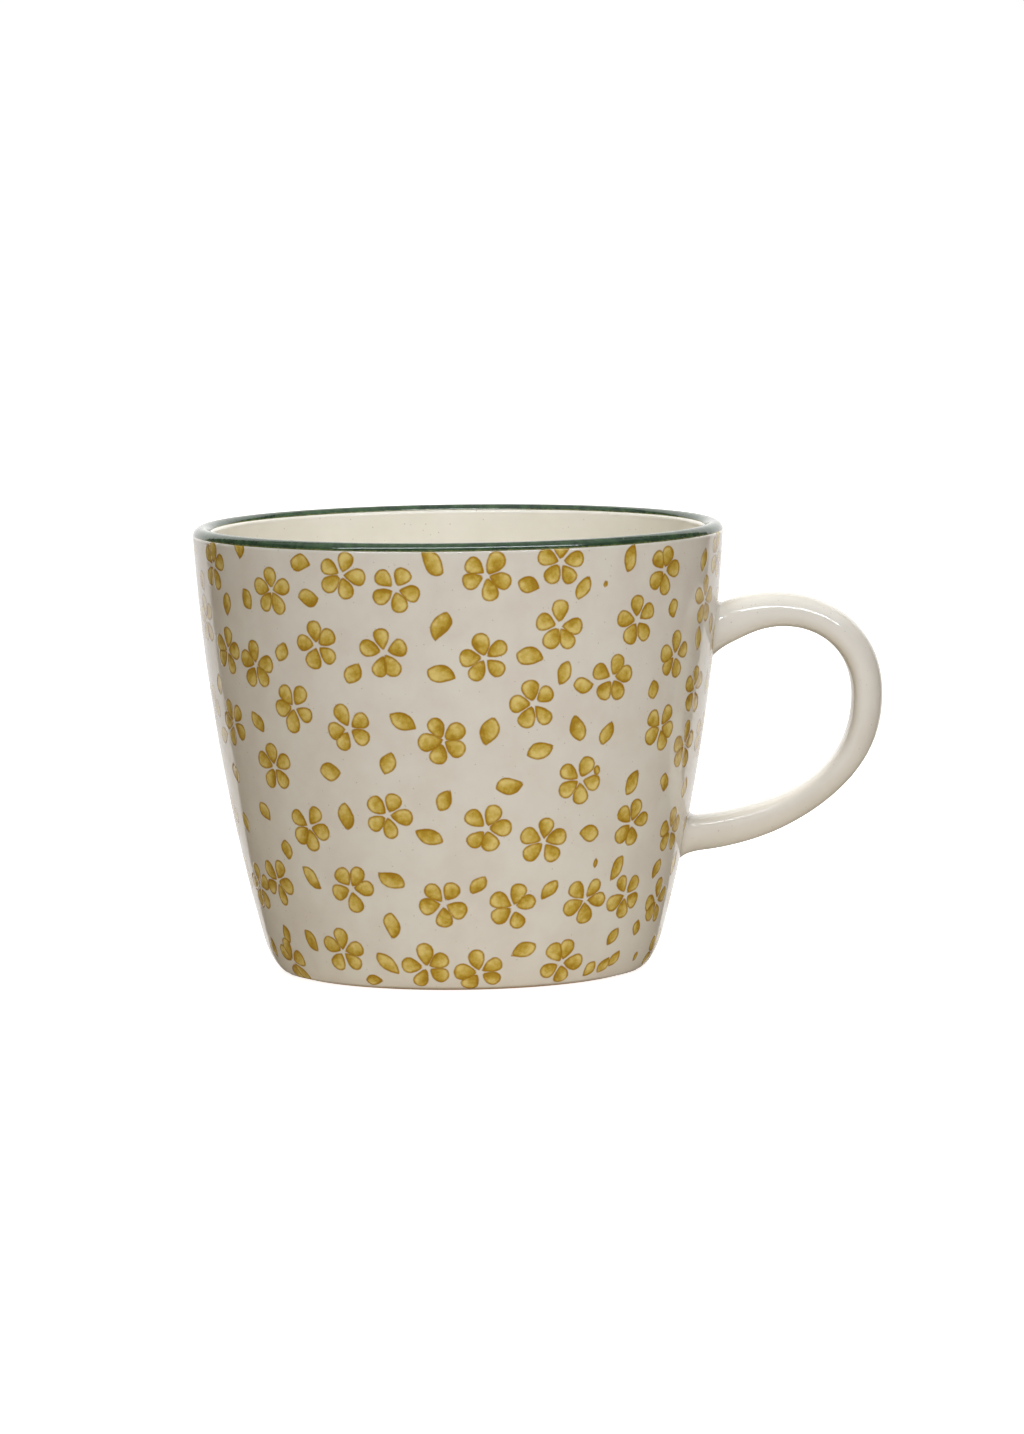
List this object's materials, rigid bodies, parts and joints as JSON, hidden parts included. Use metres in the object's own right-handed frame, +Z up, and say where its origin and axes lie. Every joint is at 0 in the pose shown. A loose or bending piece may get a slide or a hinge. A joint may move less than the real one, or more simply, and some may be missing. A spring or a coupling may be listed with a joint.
{
  "type": "stoneware mug",
  "caption": "Wide flared stoneware mug with an oval loop handle, a green band over the lip and a flat ring foot, for hot drinks.",
  "frame": {"origin": "under the middle of the whole mug's box, on the plane that the foot stands on", "axes": "+Z up along the cup's axis, +X towards the handle, +Y to the left of someone who looks along +X"},
  "size_m": [0.1324, 0.102, 0.086],
  "materials": {
    "stoneware_clay": "bare fired stoneware, matt, with fine grog",
    "stamped_glaze": "glossy clear glaze over cream slip with stamped ochre flowers and petals",
    "liner_glaze": "glossy cream glaze",
    "green_band": "glossy dark green brushed band",
    "foot_glaze": "glossy cream glaze",
    "handle_glaze": "glossy cream glaze"
  },
  "bodies": {
    "root": {"cup_body": "stoneware_clay", "outer_glaze": "stamped_glaze", "inner_glaze": "liner_glaze", "rim_band": "green_band", "foot_glaze": "foot_glaze", "handle": "handle_glaze", "upper_handle_joint": "handle_glaze", "lower_handle_joint": "handle_glaze"}
  },
  "joints": []
}
